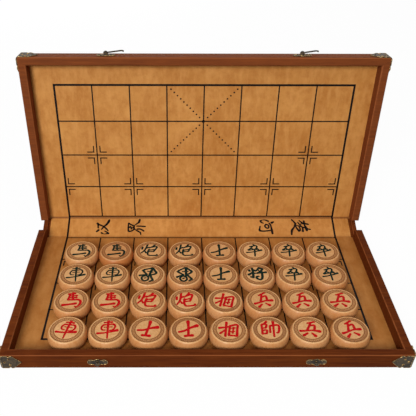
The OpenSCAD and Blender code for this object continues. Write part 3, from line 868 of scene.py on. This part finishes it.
def pale_wood(name, stained):
    """Close pale wood, streaked and flecked. How red it is and how dark its stain are each piece's own, and the redness
    also holds painted shade on the sides.
    """
    made, tree = new_material(name)
    streak = noise(tree, placed(tree, (1, 1, 0.12)), 420, 5, 0.6)
    cloud = noise(tree, placed(tree), 60, 3)
    fleck = noise(tree, placed(tree, (1, 1, 0.08)), 1500, 4, 0.75)
    body = blend_colour(tree, ramp(tree, streak, 0.35, 0.68), colour(224, 174, 118), colour(200, 144, 86))
    body = tinted(tree, body, cloud, 0.35, 0.7, 0.45, (234, 190, 138))
    body = tinted(tree, body, fleck, 0.48, 0.7, 0.6, (152, 96, 48))
    # The tone attribute holds each piece's own redness and the painted shade of its sides
    body = blend_colour(tree, own(tree, "tone"), body, colour(170, 98, 44))
    if stained:
        body = blend_colour(tree, 0.35, body, colour(158, 100, 54))
        body = blend_colour(tree, own(tree, "stain"), body, colour(104, 56, 30))
    finish_material(tree, body, ramp(tree, streak, 0.3, 0.7, 0.36, 0.48), fleck, 0.06, specular=0.22)
    return made


def cut_paint(name, light, dark, rough):
    """Stain or paint in a cut, uneven where it has settled."""
    made, tree = new_material(name)
    pool = noise(tree, placed(tree), 900, 4)
    body = blend_colour(tree, ramp(tree, pool, 0.35, 0.7), dark, light)
    finish_material(tree, body, rough, pool, 0.05, specular=0.12)
    return made


piece_wood = pale_wood("pale_turned_wood", False)
band_wood = pale_wood("pale_turned_wood_stained", True)
band_cut = cut_paint("band_stain", colour(160, 106, 62), colour(128, 78, 42), 0.6)
red_paint = cut_paint("red_paint", colour(206, 16, 22), colour(164, 4, 12), 0.5)
green_paint = cut_paint("green_paint", colour(8, 42, 34), colour(2, 22, 18), 0.5)

points, faces, kinds, smooth = sector()
blank_slice = mesh_object("blank_slice", points, faces, [piece_wood, red_paint, band_cut, band_wood], kinds, smooth)
plain = blank_slice.data.attributes.new("plain", "BOOLEAN", "FACE")
plain.data.foreach_set("value", [kind == WOOD for kind in kinds])
blank = grow("blank_piece", blank_slice, round_tree(), Slices=UNITS, Wood=piece_wood)

# The names as the brush writes them, stroke by stroke, in millimetres from the piece's middle
names = {
    "horse": [
        [(-4.4, 9.8, 0.9), (2.8, 10.8, 1.1)], [(0.6, 12.8, 1), (0.8, 7), (1.6, 1.6, 0.9)],
        [(-2.4, 9.6, 1), (-3, 5), (-3.8, 1)], [(-2, 6.8, 0.7), (5.2, 7.4)], [(-2, 4, 0.7), (5.2, 4.4)],
        [(-3.6, 1, 0.9), (2.4, 1, 0.9), (7.4, 1.2, 1.1), (10, -1, 1.2), (10.2, -4, 1.2), (9, -8, 1.2),
         (6.6, -10.6, 1.2)],
        [(-8.6, -7.2, 1.4), (-1.4, -6, 1.1), (5.4, -4.6, 1.3)], [(6.8, -10.2, 1.1), (4.4, -8.6, 0.5)]],
    "chariot": [
        [(-3.9, 9.6, 0.8), (0, 10.2, 0.8), (3.9, 10.4)],
        [(-4.4, 6.6, 0.8), (-6.4, 3, 0.8), (-5.4, -0.2, 0.8), (-2, -0.8, 0.5)],
        [(-4.4, 6.4, 0.8), (1, 7, 0.7), (5.8, 7.4), (7.6, 4, 0.9), (5.8, 0, 0.8), (2, -1.2, 0.5)],
        [(-3.6, 3.2, 0.5), (4.6, 3.6, 0.5)],
        [(-9.8, -5.2, 1.1), (-4.7, -4.8, 0.9), (1.4, -3.6, 0.8), (10.2, -0.9, 1.3)],
        [(0.2, 12.8, 1.1), (0.3, 0), (0.8, -11.8, 0.6)]],
    "cannon": [
        [(-9.6, 7, 1.1), (-10.2, 3.4, 1.1)], [(-3.8, 12.2, 1), (-5.4, 6), (-7.4, 0.4), (-11.4, -4.4, 0.7)],
        [(-5.2, 4.6, 0.8), (-2.6, 6.4)], [(-7.4, 0.6, 0.9), (-5.2, -3.8)],
        [(5.6, 12, 1.2), (2.8, 8.6), (-1.6, 5.4, 0.8)], [(-1, 6.2, 0.8), (7.4, 8, 1.1), (6, 3), (3.4, -1.8, 0.9)],
        [(-1.8, 1.2, 0.9), (4.6, 2.2, 0.9)], [(-1.4, -1.6, 0.8), (3.6, -1.4, 0.8)],
        [(-1.8, 2.6, 1), (-3.2, -3.6), (-2.2, -8), (3, -8.8, 0.9), (7.8, -8.6), (7.6, -7, 0.8)]],
    "advisor": [
        [(-0.6, 11, 1.5), (-0.2, 4, 1.1), (-0.4, -8)],
        [(-10.2, -3.4, 0.9), (-4, -1.6, 1.1), (2, 2.4, 1.1), (8.8, 5.4, 1.6)],
        [(-3.8, -8.8, 1.2), (0, -8.4, 1.1), (3.8, -8, 1.4)]],
    "soldier_green": [
        [(-0.4, 12.8, 0.9), (1.2, 9.8, 1.1)], [(-4.8, 7.8, 0.8), (0, 9.4), (3, 10)],
        [(-1.6, 8.6, 0.9), (-3.6, 4.8), (-7, 1.6)], [(-3.8, 5, 0.9), (-1.2, 3)],
        [(4, 8.6, 0.9), (3.2, 5), (0.6, 2.4, 0.9)], [(3, 6, 0.8), (5, 2.4, 1.1)],
        [(-6.8, 1, 0.9), (-2, 1.8, 0.7), (4.2, 2.6, 0.8)],
        [(-9.2, -3.2, 1), (-4, -2.6, 0.8), (3, -0.8, 0.9), (8.8, 1.4, 1.3)],
        [(0.6, 2.4, 0.9), (0.4, -4), (0, -10, 0.8)]],
    "elephant_green": [
        [(1.4, 12, 1.3), (-2.6, 9.4), (-7, 6.4)],
        [(1.8, 11.4, 1.1), (5, 8, 1.2), (7.8, 5, 1.4), (6.4, 2.2, 1.2), (3, -0.2, 0.8)],
        [(-8.2, 4.8, 1.3), (-5, 1.8, 1.2), (-1.4, -0.8, 0.9)], [(1.4, 11, 1.3), (1.4, 3, 1.4), (1.6, -2.6, 1.1)],
        [(-2.6, 4.8, 0.8), (3.8, 5, 0.7)], [(-9, -4.8, 1.3), (-6.2, -3, 1.1), (-2.4, -1.4, 0.9)],
        [(-1.2, -2.6, 1), (-5, -5.2, 1.1), (-5, -9, 1.1), (-1.8, -11.6, 1.2), (1.8, -9.8, 1.1),
         (2, -5.8), (-0.4, -3.2)],
        [(-2.4, -7.4, 0.8), (-1, -6.6, 0.9)], [(3, -1.4, 1.1), (5.2, -4.6, 1.2), (7.6, -8.2, 1.4), (4.6, -10.8, 0.9)]],
    "general_green": [
        [(-10, 8.4, 1.4), (-8.4, 5.6, 1.3)], [(-10, -0.6, 1.6), (-6.4, 2.6), (-3, 7.6, 0.9)],
        [(-5.6, 10.6, 1.3), (-4.8, 4, 1.3), (-5.4, -5.6, 1.3)], [(-8, -4.4, 1.2), (-5.6, -5.2, 1.2)],
        [(-9.4, 0.6, 1), (-1, 2, 0.9)], [(3.2, 11.8, 1.3), (0.8, 8.4, 1.2), (-2, 5.4, 0.9)],
        [(1.4, 10, 1), (6.4, 9.8, 1.4), (4, 5.4, 1.2), (-0.4, 1.8, 0.9)], [(1.6, 6.6, 0.7), (3.6, 5.4, 0.7)],
        [(-0.6, 1.6, 0.9), (4.6, 2.6), (10, 3.6, 1.4)],
        [(5.4, 4.4, 1), (5.2, -2, 1.3), (4.4, -7, 1.3), (2, -9, 1.2), (-1.2, -7, 1.3), (-1.4, -4, 1.2),
         (1.2, -3.4, 0.9)]],
    "elephant_red": [
        [(-10.2, 2.2, 1.1), (-4, 3, 0.9), (0, 3.8, 0.9)], [(-2.2, 9.8, 1.1), (-3.2, 2), (-4.6, -9)],
        [(-4, -0.6, 0.8), (-9.6, -5.2)], [(1.2, 5, 1), (-1, -7.8)],
        [(1, 4.8, 0.9), (8.6, 6.4, 1.1), (8.2, 0), (7.2, -9, 1.1)], [(4.6, 2.8, 0.8), (3.2, -5, 0.8)],
        [(2.2, 1.6, 0.6), (6.2, 2.2, 0.6)], [(1.2, -3, 0.6), (5.2, -2.6, 0.6)], [(-1, -7.8, 0.9), (7, -8.8, 0.9)]],
    "soldier_red": [
        [(6, 10.8, 1), (1.6, 9.4, 0.9), (-1.8, 8.6, 0.8)], [(1.8, 9.6, 1), (0, 5.6), (-3.2, -0.6)],
        [(-0.8, 4.8, 0.8), (5, 5.6, 1.1), (4.2, -0.4)],
        [(-10.6, -2, 1.2), (-4.6, -1.8, 0.9), (2, -1.2, 0.9), (9.2, -2.8, 1.4)], [(-3.6, -5, 0.8), (-7.9, -8, 1.3)],
        [(0.8, -5, 0.7), (3.8, -8.9, 1.4)]],
    "general_red": [
        [(-2.4, 10.8, 1.1), (-5, 8.2, 0.9), (-8, 6.6, 0.7)], [(-7.8, 6.6, 0.9), (-8, -6)],
        [(-7, 6.8, 0.8), (-2.8, 7.2), (-3.8, 2.4, 0.9)], [(-7, 2, 0.8), (-3.8, 2.2, 0.8)],
        [(-7, -1.2, 0.8), (-3, -0.9, 0.9), (-3.9, -5.6, 0.9)], [(-7.2, -5.8, 0.8), (-3.8, -5.6, 0.8)],
        [(0.6, 4.8, 0.9), (0, -4, 0.9)], [(0.6, 5, 0.9), (9.4, 5.8, 1.1), (8.8, -3), (6.6, -4.6, 0.7)],
        [(4.4, 11.2, 1.1), (3.4, -9.6, 0.8)]]}
NAME_R, NAME_DEPTH = 12.7, 0.5
NAME_WEIGHT = {"red": 2.9, "green": 2.6}  # the green names are written a little finer
# Turn of each piece in the tray, in degrees, how red its wood is, and how dark its band is stained
turns = {"red_chariot_1": -14, "red_advisor_1": -14, "red_soldier_5": 19, "red_soldier_1": 17, "red_soldier_2": 13,
         "red_soldier_3": 5, "green_soldier_2": -2, "green_soldier_3": 4, "green_soldier_4": -3, "green_soldier_5": 4,
         "green_advisor_2": -3, "green_elephant_1": -17, "green_chariot_1": 3, "green_cannon_2": 5,
         "red_cannon_2": 10, "red_elephant_1": -7, "red_horse_2": -1}
redder = {"green_horse_2": 0.4, "green_soldier_5": 0.2, "green_advisor_1": 0.2}
darker = {"red_advisor_2": 0.4, "red_general": 0.35, "red_elephant_1": 0.35, "green_cannon_2": 0.3,
          "red_soldier_5": 0.3}
PAINTED_SIDE_SHADE, TOP_REACH = 0.5, 0.8  # how much redder the sides are painted, as painted shade, and how far down from the top they start


def name_disc(strokes, weight):
    """The flat top inside the band, with the strokes cut down into it: points, faces, kinds."""
    n = UNITS * COLUMNS
    flat = [Vector(p) for p in disc(0, 0, BAND_IN, n)]
    edges, sweeps = [], [swept(stroke, weight) for stroke in strokes]
    for sweep in sweeps:
        # A stroke that would run into the band stops short of it
        outline = [Vector(p) * min(1, NAME_R / math.hypot(*p)) for p in brushed(sweep)]
        edges += [(len(flat) + i, len(flat) + (i + 1) % len(outline)) for i in range(len(outline))]
        flat += outline
    spots, _, cells, _, _, _ = delaunay_2d_cdt(flat, edges, [list(range(n))], 1, 1e-4)

    def under_brush(p):
        """Whether a point lies within a stroke, a hair inside its outline."""
        for sweep in sweeps:
            for (a, half_a), (b, half_b) in zip(sweep, sweep[1:]):
                t = min(1, max(0, (p - a).dot(b - a) / (b - a).length_squared))
                if (p - a.lerp(b, t)).length < 0.95 * (half_a + (half_b - half_a) * t):
                    return True
        return False
    is_cut = [max(spots[i].length for i in cell) < BAND_IN - 0.02
              and under_brush(sum((spots[i] for i in cell), Vector((0, 0))) / len(cell)) for cell in cells]
    points, where, faces, kinds = [], {}, [], []

    def at(i, low):
        if (i, low) not in where:
            where[i, low] = len(points)
            points.append((spots[i].x, spots[i].y, PIECE_H - (NAME_DEPTH if low else 0)))
        return where[i, low]
    uses = {}
    for cell, low in zip(cells, is_cut):
        faces.append([at(i, low) for i in cell])
        kinds.append(PAINT if low else WOOD)
        for a, b in zip(cell, cell[1:] + cell[:1]):
            uses.setdefault((min(a, b), max(a, b)), []).append((a, b, low))
    for sides in uses.values():
        if len(sides) == 2 and sides[0][2] != sides[1][2]:
            a, b, _ = sides[0] if sides[0][2] else sides[1]
            faces.append([at(b, True), at(a, True), at(a, False), at(b, False)])
            kinds.append(PAINT)
    return points, faces, kinds


discs = {}
for number, body in enumerate(b for b in frame["bodies"] if b.startswith(("red_", "green_"))):
    side, rank = body.split("_")[:2]
    word = rank if rank in names else f"{rank}_{side}"
    if (word, side) not in discs:
        discs[word, side] = name_disc(names[word], NAME_WEIGHT[side])
    points, faces, kinds = discs[word, side]
    low, high = (Vector(corner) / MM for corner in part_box(body))
    centre = Vector(((low.x + high.x) / 2, (low.y + high.y) / 2, low.z))
    paint = red_paint if side == "red" else green_paint
    work = bmesh.new()
    work.from_mesh(blank.data)
    corners = [work.verts.new(Vector(p) * MM) for p in points]
    for face, kind in zip(faces, kinds):
        work.faces.new([corners[i] for i in face]).material_index = kind
    bmesh.ops.remove_doubles(work, verts=work.verts, dist=WELD)
    bmesh.ops.recalc_face_normals(work, faces=work.faces)
    turn = math.radians(turns.get(body, 0))
    work.transform(Matrix.Translation(centre * MM) @ Matrix.Rotation(turn, 4, "Z"))
    mesh = bpy.data.meshes.new(body + "_turned")
    work.to_mesh(mesh)
    work.free()
    for material in (piece_wood, paint, band_cut, band_wood):
        mesh.materials.append(material)
    # No two pieces beside each other are alike, and the sides are painted redder than the top as painted shade
    top = (low.z + PIECE_H - TOP_REACH) * MM
    for name, value, side_shade in (("tone", redder.get(body, 0.03 * ((number * 29) % 5)), PAINTED_SIDE_SHADE),
                                ("stain", darker.get(body, 0.02 * ((number * 17) % 6)), 0)):
        attribute = mesh.attributes.new(name, "FLOAT", "POINT")
        attribute.data.foreach_set("value", [value + side_shade * (v.co.z < top) for v in mesh.vertices])
    piece = put_in_scene(body + "_turned", mesh)
    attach(piece, body)
    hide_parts(body)
bpy.data.objects.remove(blank)

low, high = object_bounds()
